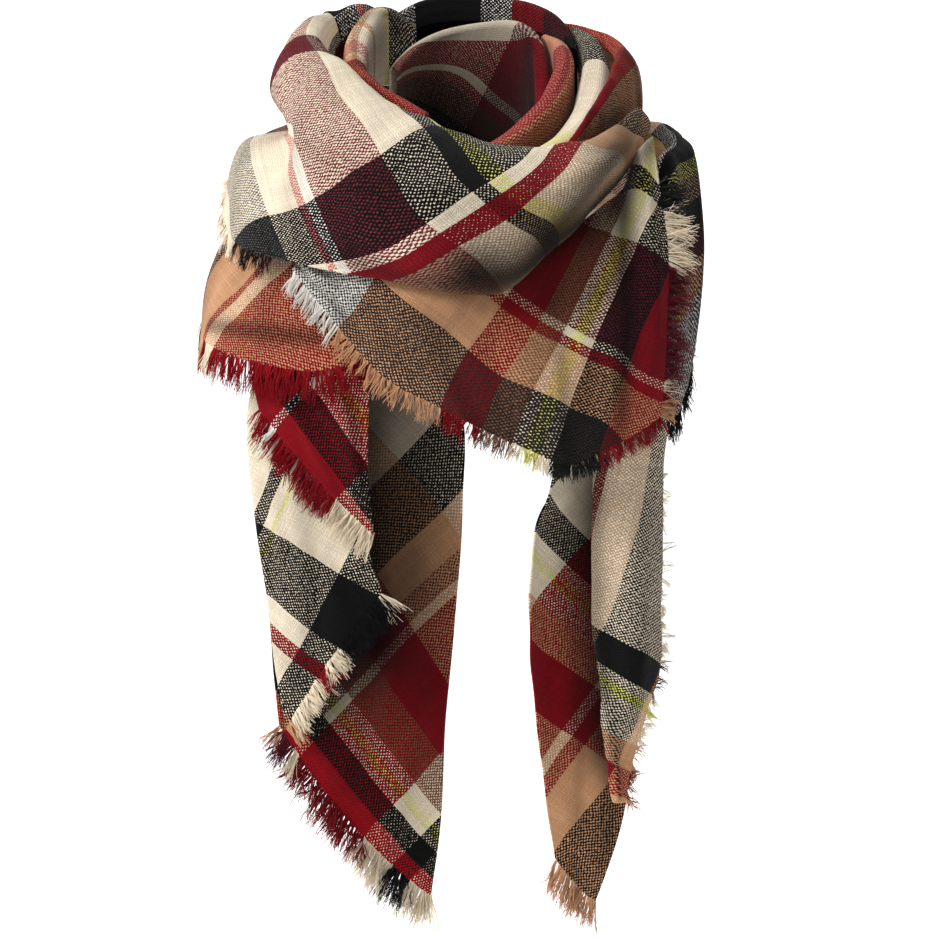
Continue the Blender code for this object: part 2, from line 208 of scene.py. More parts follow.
RIGHT_ROLL = [
    (-198, 103, -119, -202, 167, -98, 12, 0),
    (-240, 111, -120, -240, 168, -102, 16, 0),
    (-300, 109, -120, -300, 165, -103, 18, 0),
    (-376, 110, -120, -376, 166, -104, 19, 0),
    (-426, 115, -120, -424, 163, -104, 17, 0),
    (-464, 118, -120, -460, 152, -106, 13, 0),
    (-500, 122, -119, -498, 141, -109, 7, 0),
    (-528, 126, -117, -528, 136, -112, 3, 0),
]


def ease(count, shares, straight_ends=False):
    """How much each of count rows gives at each share of the way down them."""
    weights = np.zeros((len(shares), count))
    last = count - 1
    for k, share in enumerate(shares):
        place = share * last
        i = min(int(place), count - 2)
        t = place - i
        parts = (-0.5 * t ** 3 + t ** 2 - 0.5 * t, 1.5 * t ** 3 - 2.5 * t ** 2 + 1,
                 -1.5 * t ** 3 + 2 * t ** 2 + 0.5 * t, 0.5 * t ** 3 - 0.5 * t ** 2)
        for row, part in zip((i - 1, i, i + 1, i + 2), parts):
            if 0 <= row <= last or not straight_ends:
                weights[k, min(max(row, 0), last)] += part
            elif row < 0:
                weights[k, 0] += 2 * part
                weights[k, 1] -= part
            else:
                weights[k, last] += 2 * part
                weights[k, last - 1] -= part
    return weights


def even_shares(grid, axis):
    """How far along the cloth each row of a grid is, from 0 to 1."""
    steps = np.linalg.norm(np.diff(grid, axis=axis), axis=2).mean(axis=1 - axis)
    far = np.concatenate(([0.0], np.cumsum(steps)))
    return far / far[-1]


def round_neck(table, us, vs):
    """A stretch that lies round the neck."""
    rows = ease(len(table), us) @ np.array(table, float)
    across = ease((rows.shape[1] - 1) // 2, vs).T
    radius = rows[:, 1::2] @ across
    angle = np.radians(rows[:, :1])
    return np.stack((radius * np.cos(angle), radius * np.sin(angle), rows[:, 2::2] @ across), axis=2)


def rolled(table, us, vs):
    """A narrow roll round the neck: up its inner side, over the crest and down its outer side."""
    angle, middle, half, crest, inner, outer = (ease(len(table), us) @ np.array(table, float)).T[:, :, None]
    v = vs[None, :]
    turn = np.pi * np.clip((v - 0.25) / 0.375, 0, 1)
    radius = middle - half * np.cos(turn)
    drop = (inner - half) * np.clip(1 - v / 0.25, 0, 1) + (outer - half) * np.clip((v - 0.625) / 0.375, 0, 1)
    height = crest - half + half * np.sin(turn) - drop
    angle = np.radians(angle)
    return np.stack((radius * np.cos(angle), radius * np.sin(angle), height), axis=2)


def bib_form(table, us, vs):
    """The panel that lies on the chest."""
    rows = ease(len(table), us) @ np.array(table, float)
    across = ease(3, vs).T
    x = rows[:, 0:6:2] @ across
    inset = rows[:, 6:] @ across
    round_off = np.maximum(1 - np.abs(x / (CHEST_WIDE - inset)) ** CHEST_POWER, 0)
    y = -(CHEST_DEEP - inset) * round_off ** (1 / CHEST_POWER)
    return np.stack((x, y, rows[:, 1:6:2] @ across), axis=2)


def hanging(table, us, vs):
    """A panel of a tail, from its top to its tip."""
    z0, x0, y0, z1, x1, y1, bow, dip = (ease(len(table), vs) @ np.array(table, float)).T[:, None, :]
    u = us[:, None]
    arch = np.sin(np.pi * u) ** 0.8
    return np.stack((x0 + (x1 - x0) * u, y0 + (y1 - y0) * u - bow * arch,
                     z0 + (z1 - z0) * u - dip * arch), axis=2)


# ----------------------------------------------------------
# Yarns: the colour of each, and its bulk, by which it covers a finer one where they cross.
# ----------------------------------------------------------

YARN = {
    "cream": ((236, 221, 196), 0.0),
    "white": ((240, 235, 227), 0.0),
    "chalk": ((214, 210, 202), 1.2),
    "ruby": ((130, 13, 24), 1.7),
    "crimson": ((126, 12, 19), 1.05),
    "soot": ((42, 37, 36), 1.2),
    "iron": ((24, 24, 25), 0.35),
    "ash": ((92, 90, 88), 0.0),
    "sand": ((176, 146, 116), 0.2),
    "camel": ((198, 149, 111), 0.55),
    "brown": ((122, 82, 58), 0.6),
    "rose": ((196, 108, 106), 0.2),
    "red": ((132, 10, 22), 1.0),
    "maroon": ((84, 10, 16), 1.1),
    "wine": ((118, 35, 46), 0.2),
    "claret": ((92, 20, 32), 0.4),
    "scarlet": ((150, 12, 22), 1.25),
    "umber": ((98, 62, 44), 1.3),
    "jet": ((12, 11, 11), 1.5),
    "russet": ((138, 44, 36), 0.8),
    "black": ((13, 13, 14), 1.0),
    "lime": ((222, 218, 116), 0.0),
}


def linear(colour):
    """A yarn's colour as the renderer reads it."""
    return tuple(((c / 255 + 0.055) / 1.055) ** 2.4 if c > 10 else c / 255 / 12.92 for c in colour)


# ----------------------------------------------------------
# Materials
# ----------------------------------------------------------

PITCH_ACROSS = 1.8     # from one lengthwise yarn to the next
PITCH_ALONG = 1.4      # from one crosswise yarn to the next
WANDER = 0.0022        # how far the yarns stray over a few of them, in metres
STRAY = 0.0014         # how far one crossing strays from its place, in metres
EDGE = 0.26            # how softly one yarn gives way to the other
COVER = 0.58           # how far the bulkier yarn covers the other


def new_group(name, inputs, outputs):
    """An empty shader group with its sockets."""
    tree = bpy.data.node_groups.new(name, "ShaderNodeTree")
    for label, kind in inputs:
        tree.interface.new_socket(label, in_out="INPUT", socket_type=kind)
    for label, kind in outputs:
        tree.interface.new_socket(label, in_out="OUTPUT", socket_type=kind)
    return tree, tree.nodes.new("NodeGroupInput"), tree.nodes.new("NodeGroupOutput")


def sum_node(tree, operation, a, b=None, c=None):
    """One step of arithmetic on numbers or sockets."""
    node = tree.nodes.new("ShaderNodeMath")
    node.operation = operation
    for socket, value in zip(node.inputs, (a, b, c)):
        if value is None:
            continue
        if isinstance(value, (int, float)):
            socket.default_value = value
        else:
            tree.links.new(value, socket)
    return node.outputs[0]


def mixed(tree, blend, factor, a, b):
    """Two colours blended."""
    node = tree.nodes.new("ShaderNodeMix")
    node.data_type = "RGBA"
    node.blend_type = blend
    for socket, value in ((node.inputs[0], factor), (node.inputs[6], a), (node.inputs[7], b)):
        if isinstance(value, (int, float)):
            socket.default_value = value
        elif isinstance(value, tuple):
            socket.default_value = (*value, 1.0)
        else:
            tree.links.new(value, socket)
    return node.outputs[2]


def noise_node(tree, vector, size, detail=2.0, stretch=None, rough=0.5):
    """Uneven patches of about that size, in metres."""
    if stretch:
        scaled = tree.nodes.new("ShaderNodeVectorMath")
        scaled.operation = "MULTIPLY"
        tree.links.new(vector, scaled.inputs[0])
        scaled.inputs[1].default_value = stretch
        vector = scaled.outputs[0]
    node = tree.nodes.new("ShaderNodeTexNoise")
    node.inputs["Scale"].default_value = 1 / size
    node.inputs["Detail"].default_value = detail
    node.inputs["Roughness"].default_value = rough
    tree.links.new(vector, node.inputs["Vector"])
    return node


def grey_of(tree, value):
    """A number as a shade of grey."""
    grey = tree.nodes.new("ShaderNodeCombineXYZ")
    for socket in grey.inputs:
        tree.links.new(value, socket)
    return grey.outputs[0]


def make_weave():
    """Plain weave: at each crossing the lengthwise or the crosswise yarn is on top."""
    tree, given, result = new_group(
        "plain weave",
        [("Lengthwise yarn", "NodeSocketColor"), ("Crosswise yarn", "NodeSocketColor"),
         ("Lengthwise bulk", "NodeSocketFloat"), ("Crosswise bulk", "NodeSocketFloat"),
         ("Across", "NodeSocketFloat"), ("Along", "NodeSocketFloat"), ("Shade", "NodeSocketFloat")],
        [("Colour", "NodeSocketColor"), ("Height", "NodeSocketFloat")])
    place = tree.nodes.new("ShaderNodeCombineXYZ")
    tree.links.new(given.outputs["Across"], place.inputs[0])
    tree.links.new(given.outputs["Along"], place.inputs[1])
    flat = place.outputs[0]
    wander = noise_node(tree, flat, 0.011)
    jitter = noise_node(tree, flat, 0.0026, 1.0)
    apart = tree.nodes.new("ShaderNodeSeparateXYZ")
    tree.links.new(jitter.outputs["Color"], apart.inputs[0])
    shift = sum_node(tree, "MULTIPLY_ADD", wander.outputs["Fac"], WANDER, -WANDER / 2)
    across = sum_node(tree, "ADD", sum_node(tree, "ADD", given.outputs["Across"], shift),
                      sum_node(tree, "MULTIPLY_ADD", apart.outputs[0], STRAY, -STRAY / 2))
    along = sum_node(tree, "ADD", sum_node(tree, "SUBTRACT", given.outputs["Along"], shift),
                     sum_node(tree, "MULTIPLY_ADD", apart.outputs[1], STRAY, -STRAY / 2))
    waves = sum_node(tree, "MULTIPLY",
                     sum_node(tree, "SINE", sum_node(tree, "MULTIPLY", across, math.pi / (PITCH_ACROSS * MM))),
                     sum_node(tree, "SINE", sum_node(tree, "MULTIPLY", along, math.pi / (PITCH_ALONG * MM))))
    fuzz = noise_node(tree, flat, 0.0007, 3.0, rough=0.65)
    streaks = noise_node(tree, flat, 0.002, 2.0, (0.6, 1.5, 1.0))
    fluff = sum_node(tree, "ADD", sum_node(tree, "MULTIPLY_ADD", fuzz.outputs["Fac"], 1.5, -0.75),
                     sum_node(tree, "MULTIPLY_ADD", streaks.outputs["Fac"], 2.2, -1.1))
    top = tree.nodes.new("ShaderNodeMapRange")
    top.interpolation_type = "SMOOTHSTEP"
    top.inputs["From Min"].default_value = -EDGE
    top.inputs["From Max"].default_value = EDGE
    bulk = sum_node(tree, "MULTIPLY", sum_node(
        tree, "SUBTRACT", given.outputs["Lengthwise bulk"], given.outputs["Crosswise bulk"]), COVER)
    tree.links.new(sum_node(tree, "ADD", sum_node(tree, "ADD", waves, fluff), bulk), top.inputs["Value"])
    colours = []
    for label, where, pitch in (("Lengthwise yarn", across, PITCH_ACROSS),
                                ("Crosswise yarn", along, PITCH_ALONG)):
        number = sum_node(tree, "FLOOR", sum_node(tree, "MULTIPLY", where, 1 / (pitch * MM)))
        chance = tree.nodes.new("ShaderNodeTexWhiteNoise")
        chance.noise_dimensions = "1D"
        tree.links.new(number, chance.inputs["W"])
        shade = sum_node(tree, "MULTIPLY_ADD", chance.outputs["Value"], 0.24, 0.86)
        colours.append(mixed(tree, "MULTIPLY", 1.0, given.outputs[label], grey_of(tree, shade)))
    colour = mixed(tree, "MIX", top.outputs[0], colours[1], colours[0])
    crown = sum_node(tree, "POWER", sum_node(tree, "ABSOLUTE", waves), 0.45)
    # Painted shade: the colour is darker where the yarns dip at their edges, between them.
    yarn_gap_shade = sum_node(tree, "MULTIPLY_ADD", crown, 0.38, 0.68)
    patch = noise_node(tree, flat, 0.022, 4.0)
    nap = sum_node(tree, "MULTIPLY_ADD", patch.outputs["Fac"], 0.26, 0.88)
    shade = sum_node(tree, "MULTIPLY", sum_node(tree, "MULTIPLY", yarn_gap_shade, nap),
                     sum_node(tree, "MULTIPLY_ADD", fuzz.outputs["Fac"], 0.36, 0.83))
    # Painted shade from the creases darkens the colour as well.
    shade = sum_node(tree, "MULTIPLY", shade, given.outputs["Shade"])
    tree.links.new(mixed(tree, "MULTIPLY", 1.0, colour, grey_of(tree, shade)), result.inputs["Colour"])
    height = sum_node(tree, "ADD", sum_node(tree, "MULTIPLY_ADD", fuzz.outputs["Fac"], 0.6, crown),
                      sum_node(tree, "MULTIPLY", streaks.outputs["Fac"], 0.8))
    tree.links.new(height, result.inputs["Height"])
    return tree


WEAVE = make_weave()


def ramp_of(tree, value, low, high, rows):
    """The stripes that one set of yarns makes, between two places on the flat cloth."""
    spread = tree.nodes.new("ShaderNodeMapRange")
    spread.inputs["From Min"].default_value = low * MM
    spread.inputs["From Max"].default_value = high * MM
    tree.links.new(value, spread.inputs["Value"])
    ramp = tree.nodes.new("ShaderNodeValToRGB")
    ramp.color_ramp.interpolation = "CONSTANT"
    while len(ramp.color_ramp.elements) < len(rows):
        ramp.color_ramp.elements.new(0.5)
    while len(ramp.color_ramp.elements) > max(len(rows), 1):
        ramp.color_ramp.elements.remove(ramp.color_ramp.elements[-1])
    for element, (begins, yarn) in zip(ramp.color_ramp.elements, rows):
        element.position = min(max((begins - low) / (high - low), 0.0), 1.0)
        colour, bulk = YARN[yarn]
        element.color = (*linear(colour), bulk)
    tree.links.new(spread.outputs[0], ramp.inputs[0])
    return ramp


def cloth_material(name, span, warp, weft, loose=None):
    """Tartan over a span of the flat cloth; loose names the one set of yarns that a fringe is made of."""
    mat = bpy.data.materials.new(name)
    mat.use_nodes = True
    tree = mat.node_tree
    shader = tree.nodes["Principled BSDF"]
    uv = tree.nodes.new("ShaderNodeUVMap")
    uv.uv_map = "flat cloth"
    parts = tree.nodes.new("ShaderNodeSeparateXYZ")
    tree.links.new(uv.outputs[0], parts.inputs[0])
    s0, s1, t0, t1 = span
    across = ramp_of(tree, parts.outputs[0], s0, s1, warp)
    along = ramp_of(tree, parts.outputs[1], t0, t1, weft)
    shader.inputs["Roughness"].default_value = 0.92
    shader.inputs["Sheen Weight"].default_value = 0.05
    shader.inputs["Sheen Roughness"].default_value = 0.5
    shader.inputs["Specular IOR Level"].default_value = 0.08
    if loose:
        colour = (across if loose == "warp" else along).outputs["Color"]
        chance = noise_node(tree, uv.outputs[0], 0.0011)
        shade = sum_node(tree, "MULTIPLY_ADD", chance.outputs["Fac"], 0.5, 0.78)
        tree.links.new(mixed(tree, "MULTIPLY", 1.0, colour, grey_of(tree, shade)), shader.inputs["Base Color"])
        return mat
    weave = tree.nodes.new("ShaderNodeGroup")
    weave.node_tree = WEAVE
    tree.links.new(across.outputs["Color"], weave.inputs["Lengthwise yarn"])
    tree.links.new(along.outputs["Color"], weave.inputs["Crosswise yarn"])
    tree.links.new(across.outputs["Alpha"], weave.inputs["Lengthwise bulk"])
    tree.links.new(along.outputs["Alpha"], weave.inputs["Crosswise bulk"])
    tree.links.new(parts.outputs[0], weave.inputs["Across"])
    tree.links.new(parts.outputs[1], weave.inputs["Along"])
    # Painted shade: the creases' darkening, kept on the mesh, multiplies the yarn colour.
    painted_crease_shade = tree.nodes.new("ShaderNodeAttribute")
    painted_crease_shade.attribute_name = "painted_crease_shade"
    tree.links.new(painted_crease_shade.outputs["Fac"], weave.inputs["Shade"])
    tree.links.new(weave.outputs["Colour"], shader.inputs["Base Color"])
    bump = tree.nodes.new("ShaderNodeBump")
    bump.inputs["Strength"].default_value = 0.55
    bump.inputs["Distance"].default_value = 0.0008
    tree.links.new(weave.outputs["Height"], bump.inputs["Height"])
    tree.links.new(bump.outputs[0], shader.inputs["Normal"])
    return mat


# ----------------------------------------------------------
# Cloth
# ----------------------------------------------------------

PAINTED_SHADE_PER_MM = 0.11            # painted shade: how much darker the colour is painted for each mm that a trough is deep
made = {}              # each stretch's points, places on the flat cloth and charts, for its fringe


def grid_normals(grid):
    """Which way the cloth faces at each of its points."""
    n = np.cross(np.gradient(grid, axis=0), np.gradient(grid, axis=1))
    return n / np.maximum(np.linalg.norm(n, axis=2, keepdims=True), 1e-9)


def lengths(grid):
    """Mean size of a stretch along its rows and across them."""
    long = np.linalg.norm(np.diff(grid, axis=0), axis=2).sum(axis=0).mean()
    wide = np.linalg.norm(np.diff(grid, axis=1), axis=2).sum(axis=1).mean()
    return long, wide


def fold_depth(folds, us, vs, long, wide):
    """Soft troughs (below 0) and ridges, and the shade painted into the colour in and near the troughs. Rows:
    where each begins and ends, its bend, half width and depth, and for some how much shade is painted in it,
    counted as mm of trough."""
    u = us[:, None] * long
    v = vs[None, :] * wide
    total = np.zeros((len(us), len(vs)))
    light = np.ones((len(us), len(vs)))
    for u0, v0, u1, v1, bend, width, depth, *dark in folds:
        du, dv = (u1 - u0) * long, (v1 - v0) * wide
        reach = math.hypot(du, dv)
        t = ((u - u0 * long) * du + (v - v0 * wide) * dv) / reach ** 2
        on = np.clip(t, 0, 1)
        off = ((v - v0 * wide) * du - (u - u0 * long) * dv) / reach - bend * 4 * on * (1 - on)
        fade = 0.3 + 0.7 * np.sin(np.pi * on)
        end = ((t - on) * reach / (1.6 * width)) ** 2
        total += depth * fade * np.exp(-(off / width) ** 2 - end)
        # Painted shade: the colour is darkened in and beside each trough, by its listed amount or else by its
        # depth.
        dark = dark[0] if dark else max(-depth, 0)
        light *= 1 - (1 - math.exp(-PAINTED_SHADE_PER_MM * dark)) * np.exp(-(off / (1.3 * width)) ** 2 - end)
    return total, light


def mesh_object(name, points, faces, uvs, mat, painted_crease_shade=None):
    """A mesh from points in mm, with its places on the flat cloth and the shade painted into its creases."""
    mesh = bpy.data.meshes.new(name)
    mesh.vertices.add(len(points))
    mesh.vertices.foreach_set("co", (np.asarray(points) * MM).astype(np.float32).ravel())
    faces = np.asarray(faces, np.int32)
    mesh.loops.add(faces.size)
    mesh.loops.foreach_set("vertex_index", faces.ravel())
    mesh.polygons.add(len(faces))
    mesh.polygons.foreach_set("loop_start", np.arange(0, faces.size, faces.shape[1], dtype=np.int32))
    mesh.update(calc_edges=True)
    layer = mesh.uv_layers.new(name="flat cloth")
    layer.data.foreach_set("uv", (np.asarray(uvs)[faces.ravel()] * MM).astype(np.float32).ravel())
    mesh.polygons.foreach_set("use_smooth", np.ones(len(faces), bool))
    if painted_crease_shade is not None:
        mesh.attributes.new("painted_crease_shade", "FLOAT", "POINT").data.foreach_set("value", painted_crease_shade.astype(np.float32))
    mesh.validate()
    mesh.materials.append(mat)
    obj = bpy.data.objects.new(name, mesh)
    bpy.context.collection.objects.link(obj)
    return obj


def cloth(name, node, form, table, nu, nv, grain, warp, weft, ripple=1.0, seed=1):
    """A stretch of cloth: a closed shell with rounded edges on its solid's form."""
    us = np.linspace(0, 1, nu + 1)
    vs = np.linspace(0, 1, nv + 1)
    mid = form(table, us, vs)
    long, wide = lengths(mid)
    depth, light = fold_depth(FOLDS[name], us, vs, long, wide)
    chance = np.random.default_rng(seed)
    for k in range(7):
        way = chance.uniform(0, np.pi)
        wave = chance.uniform(26, 70)
        depth += (ripple * chance.uniform(0.2, 0.5) * wave / 60
                  * np.sin((us[:, None] * long * math.cos(way) + vs[None, :] * wide * math.sin(way))
                           * 2 * np.pi / wave + chance.uniform(0, 6.3)))
    mid = mid + grid_normals(mid) * depth[:, :, None]
    n = grid_normals(mid)
    grain = np.array(grain, float).reshape(len(grain), -1, 2)
    flat = np.einsum("ia,jb,abk->ijk", ease(grain.shape[0], even_shares(mid, 0), True),
                     ease(grain.shape[1], even_shares(mid, 1), True), grain)
    made[name] = (mid, flat, n)
    size = (nu + 1) * (nv + 1)
    points = [(mid + n * CLOTH / 2).reshape(-1, 3), (mid - n * CLOTH / 2).reshape(-1, 3)]
    index = np.arange(size).reshape(nu + 1, nv + 1)
    quads = np.stack((index[:-1, :-1], index[1:, :-1], index[1:, 1:], index[:-1, 1:]), axis=2).reshape(-1, 4)
    rim = np.concatenate((index[:-1, 0], index[-1, :-1], index[:0:-1, -1], index[0, :0:-1]))
    inner = np.concatenate((index[:-1, 1], index[-2, :-1], index[:0:-1, -2], index[1, :0:-1]))
    flat_points = mid.reshape(-1, 3)
    out = flat_points[rim] - flat_points[inner]
    out /= np.maximum(np.linalg.norm(out, axis=1, keepdims=True), 1e-9)
    points.append(flat_points[rim] + out * CLOTH * 0.45)
    ring = 2 * size + np.arange(len(rim))
    after = np.roll(np.arange(len(rim)), -1)
    faces = np.concatenate((
        quads, quads[:, ::-1] + size,
        np.stack((rim, ring, ring[after], rim[after]), axis=1),
        np.stack((ring, rim + size, rim[after] + size, ring[after]), axis=1)))
    uvs = np.concatenate((flat.reshape(-1, 2), flat.reshape(-1, 2), flat.reshape(-1, 2)[rim]))
    # Painted shade from the creases, for both faces and the rim.
    light = light.ravel()
    painted_crease_shade = np.concatenate((light, light, light[rim]))
    s0, t0 = flat.reshape(-1, 2).min(axis=0) - 12
    s1, t1 = flat.reshape(-1, 2).max(axis=0) + 12
    span = (s0, s1, t0, t1)
    mat = cloth_material("tartan_" + name, span, warp, weft)
    made[name] += (span, warp, weft)
    obj = mesh_object(name, np.concatenate(points), faces, uvs, mat, painted_crease_shade)
    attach(obj, "root")
    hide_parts(node)


def along_line(points, shares):
    """The points at these shares of a line."""
    place = np.asarray(shares) * (len(points) - 1)
    i = np.minimum(place.astype(int), len(points) - 2)
    t = (place - i)[:, None]
    return points[i] * (1 - t) + points[i + 1] * t


def frayed(name, node, cloth_name, side, start, end, count, length, hang, loose, seed,
           spread=0.35, lift=0.25, thick=0.42, inward=1.5, yarns=6, gather=0.55, curve=0.0):
    """Loose yarns along a cloth's edge, gathered toward the tips in uneven locks."""
    mid, flat, normals, span, warp_rows, weft_rows = made[cloth_name]
    rim, inside, at, face = {
        "low": (mid[:, -1], mid[:, -3], flat[:, -1], normals[:, -1]),
        "far": (mid[-1], mid[-3], flat[-1], normals[-1]),
        "near": (mid[0], mid[2], flat[0], normals[0]),
    }[side]
    chance = np.random.default_rng(seed)
    shares = np.sort(chance.uniform(start, end, count))
    root = along_line(rim, shares)
    out = root - along_line(inside, shares)
    ahead = along_line(rim, np.minimum(shares + 0.01, 1)) - along_line(rim, np.maximum(shares - 0.01, 0))
    ahead /= np.linalg.norm(ahead, axis=1, keepdims=True)
    out -= ahead * (out * ahead).sum(axis=1, keepdims=True)
    out /= np.linalg.norm(out, axis=1, keepdims=True)
    off = along_line(face, shares)
    breaks = np.cumsum(chance.uniform(0, 2, count) / yarns)
    locks = breaks.astype(int)
    single = chance.uniform(0, 1, count) < 0.16
    middle = np.array([shares[locks == k].mean() if (locks == k).any() else 0.0
                       for k in range(locks.max() + 1)])
    toward = (along_line(rim, middle[locks]) - root) * np.where(single, 0, gather)[:, None]
    per_lock = locks.max() + 1
    looser = np.where(single, 2.5, 1)
    sway = chance.normal(0, spread, per_lock)[locks] + chance.normal(0, spread * 0.3, count) * looser
    raise_by = chance.normal(0, lift, per_lock)[locks] + chance.normal(0, lift * 0.4, count) * looser
    if isinstance(length, tuple):
        length = np.interp(shares, np.linspace(start, end, len(length)), length)
    reach = length * chance.uniform(0.7, 1.15, per_lock)[locks] * chance.uniform(0.75, 1.08, count)
    way = out + ahead * sway[:, None] + off * raise_by[:, None]
    way[:, 2] -= hang
    way /= np.linalg.norm(way, axis=1, keepdims=True)
    steps = 6
    t = np.linspace(0, 1, steps + 1)[None, :, None]
    side_way = np.cross(way, off)
    curl = (chance.normal(0, 0.14, per_lock)[locks] + chance.normal(0, 0.07, count) + curve)[:, None, None]
    curl = curl * reach[:, None, None]
    twist = chance.uniform(0, 6.3, per_lock)[locks][:, None, None] + chance.uniform(0, 2.0, (count, 1, 1))
    path = (root - out * inward)[:, None, :] + way[:, None, :] * (reach + inward)[:, None, None] * t
    path += toward[:, None, :] * t
    path += side_way[:, None, :] * curl * t ** 2
    path += side_way[:, None, :] * 0.6 * np.sin(t * 8 + twist) * t
    path += off[:, None, :] * 0.6 * np.cos(t * 8 + twist) * t
    path[:, :, 2:3] -= hang * 0.35 * reach[:, None, None] * t ** 2
    a = np.cross(way, off)
    a /= np.linalg.norm(a, axis=1, keepdims=True)
    b = np.cross(way, a)
    b /= np.linalg.norm(b, axis=1, keepdims=True)
    girth = (thick * chance.uniform(0.75, 1.25, (count, 1, 1))) * (1 - 0.5 * t ** 2)
    points = []
    for k in range(3):
        turn = k * 2 * math.pi / 3
        points.append(path + (a[:, None, :] * math.cos(turn) + b[:, None, :] * math.sin(turn)) * girth)
    points = np.stack(points, axis=2)
    index = np.arange(count * (steps + 1) * 3).reshape(count, steps + 1, 3)
    faces = []
    for k in range(3):
        m = (k + 1) % 3
        faces.append(np.stack((index[:, :-1, k], index[:, 1:, k], index[:, 1:, m], index[:, :-1, m]), axis=2))
    faces = np.concatenate([f.reshape(-1, 4) for f in faces])
    uvs = np.repeat(along_line(at, shares), (steps + 1) * 3, axis=0)
    mat = cloth_material("loose_yarn_" + name, span, warp_rows, weft_rows, loose)
    obj = mesh_object(name, points.reshape(-1, 3), faces, uvs, mat)
    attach(obj, "root")
    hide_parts(node)


# ----------------------------------------------------------
# Where each stretch lies on the flat cloth, and the stripes there. GRAIN: a row to a station from the
# stretch's start to its end, with the place across and along the flat cloth at even shares from its top to
# its hem. WARP and WEFT: where each stripe begins, across and along, and its yarn.
# The eight GRAIN tables here were not set by hand. A least-squares fit in another script made them, from
# stripe crossings read by eye, and 23 numbers of COWL_GRAIN alone were changed since. More than half of the
# stripe places in the eight pairs of charts are that fit's too.
# ----------------------------------------------------------

COWL_GRAIN = [
    (136, -68, 82, -86, 44, -65, -14, -48, -49, -43),
    (135, -4, 75, -15, 54, 24, 0, 45, -70, 83),
    (136, 62, 84, 64, 48, 86, 15, 125, -19, 191),
    (154, 123, 113, 138, 84, 160, 66, 196, 53, 233),
    (190, 172, 162, 193, 145, 218, 104, 253, 82, 291),
    (228, 220, 218, 243, 200, 260, 177, 286, 160, 309),
    (298, 254, 294, 271, 282, 284, 271, 301, 262, 314),
]
COWL_WARP = [(-90, "cream"), (-45, "ash"), (0, "cream"), (27, "rose"), (33, "white"), (40, "wine"),
             (88, "cream"), (123, "black"), (139, "lime"), (152, "cream"), (225, "camel"), (262, "black"),
             (300, "cream")]
COWL_WEFT = [(-90, "cream"), (-30, "maroon"), (17, "cream"), (158, "black"), (213, "cream"), (222, "ruby"),
             (238, "sand"), (269, "camel"), (300, "black")]

BIB_GRAIN = [
    (-68, -22, -68, -26, -66, -31, -65, -37),
    (2, 13, 16, -7, 29, -29, 43, -52),
    (74, 65, 95, 30, 115, -5, 122, -41),
    (127, 159, 152, 93, 170, 28, 179, -39),
    (152, 229, 172, 179, 208, 116, 241, 29),
]
BIB_WARP = [(-90, "chalk"), (0, "camel"), (94, "crimson"), (125, "brown"), (144, "cream"), (151, "lime"),
            (160, "cream"), (167, "black"), (198, "red")]
BIB_WEFT = [(-90, "soot"), (0, "camel"), (39, "red"), (47, "cream"), (54, "claret"), (139, "cream"),
            (179, "black"), (196, "cream")]

DRAPE_GRAIN = [
    (-126, 0, -126, 37, -124, 72),
    (-33, 7, -22, 62, -11, 110),
    (58, -7, 80, 43, 110, 94),
    (144, -46, 165, -20, 185, 9),
]
DRAPE_WARP = [(-140, "cream"), (-60, "black"), (0, "camel"), (50, "red"), (58, "cream"), (74, "red"),
              (190, "black")]
DRAPE_WEFT = [(-100, "camel")]

LEFT_TAIL_GRAIN = [
    (-83, -207, 20, -141, 99, -71, 167, 5, 215, 70),
    (-107, -173, -29, -78, 60, 9, 137, 85, 217, 170),
    (-134, -142, -80, -11, 7, 76, 101, 167, 212, 258),
]
LEFT_TAIL_WARP = [(-150, "cream"), (0, "camel"), (76, "red"), (122, "brown"), (157, "cream"), (167, "lime"),
                  (176, "cream"), (183, "jet"), (200, "scarlet")]
LEFT_TAIL_WEFT = [(-230, "red"), (-170, "camel"), (-110, "cream"), (0, "black"), (47, "camel"), (74, "claret"),
                  (90, "cream"), (98, "red"), (179, "cream"), (213, "black"), (232, "cream")]

FLAP_GRAIN = [
    (-59, -135, -23, -44, 41, 51, 111, 128),
    (-25, -154, 13, -75, 60, 0, 115, 61),
    (11, -173, 47, -107, 78, -52, 126, -3),
]
FLAP_WARP = [(-80, "cream"), (0, "black"), (12, "cream"), (20, "lime"), (24, "cream"), (89, "black")]
FLAP_WEFT = [(-190, "cream"), (0, "black"), (50, "cream"), (68, "red"), (80, "cream"), (118, "camel")]

TONGUE_GRAIN = [
    (8, -62, 39, -42, 56, -16),
    (-22, -32, 21, 9, 54, 54),
    (-55, -5, -2, 56, 45, 120),
]
TONGUE_WARP = [(-70, "camel"), (-24, "cream"), (-10, "lime"), (0, "cream"), (13, "jet"), (39, "red")]
TONGUE_WEFT = [(-80, "cream"), (-40, "red"), (-2, "white"), (5, "red"), (78, "cream")]

RIGHT_TAIL_GRAIN = [
    (-159, -182, -63, -100, 42, -27, 137, 61, 222, 145),
    (-176, -175, -87, -78, 12, 10, 120, 96, 228, 171),
    (-199, -167, -111, -55, -19, 47, 101, 135, 226, 194),
]
RIGHT_TAIL_WARP = [(-230, "camel"), (-90, "cream"), (0, "black"), (26, "cream"), (37, "lime"), (46, "cream"),
                   (63, "camel"), (91, "red"), (136, "camel")]
RIGHT_TAIL_WEFT = [(-230, "camel"), (-120, "black"), (-60, "cream"), (0, "red"), (88, "cream"), (98, "red"),
                   (110, "camel"), (141, "black")]

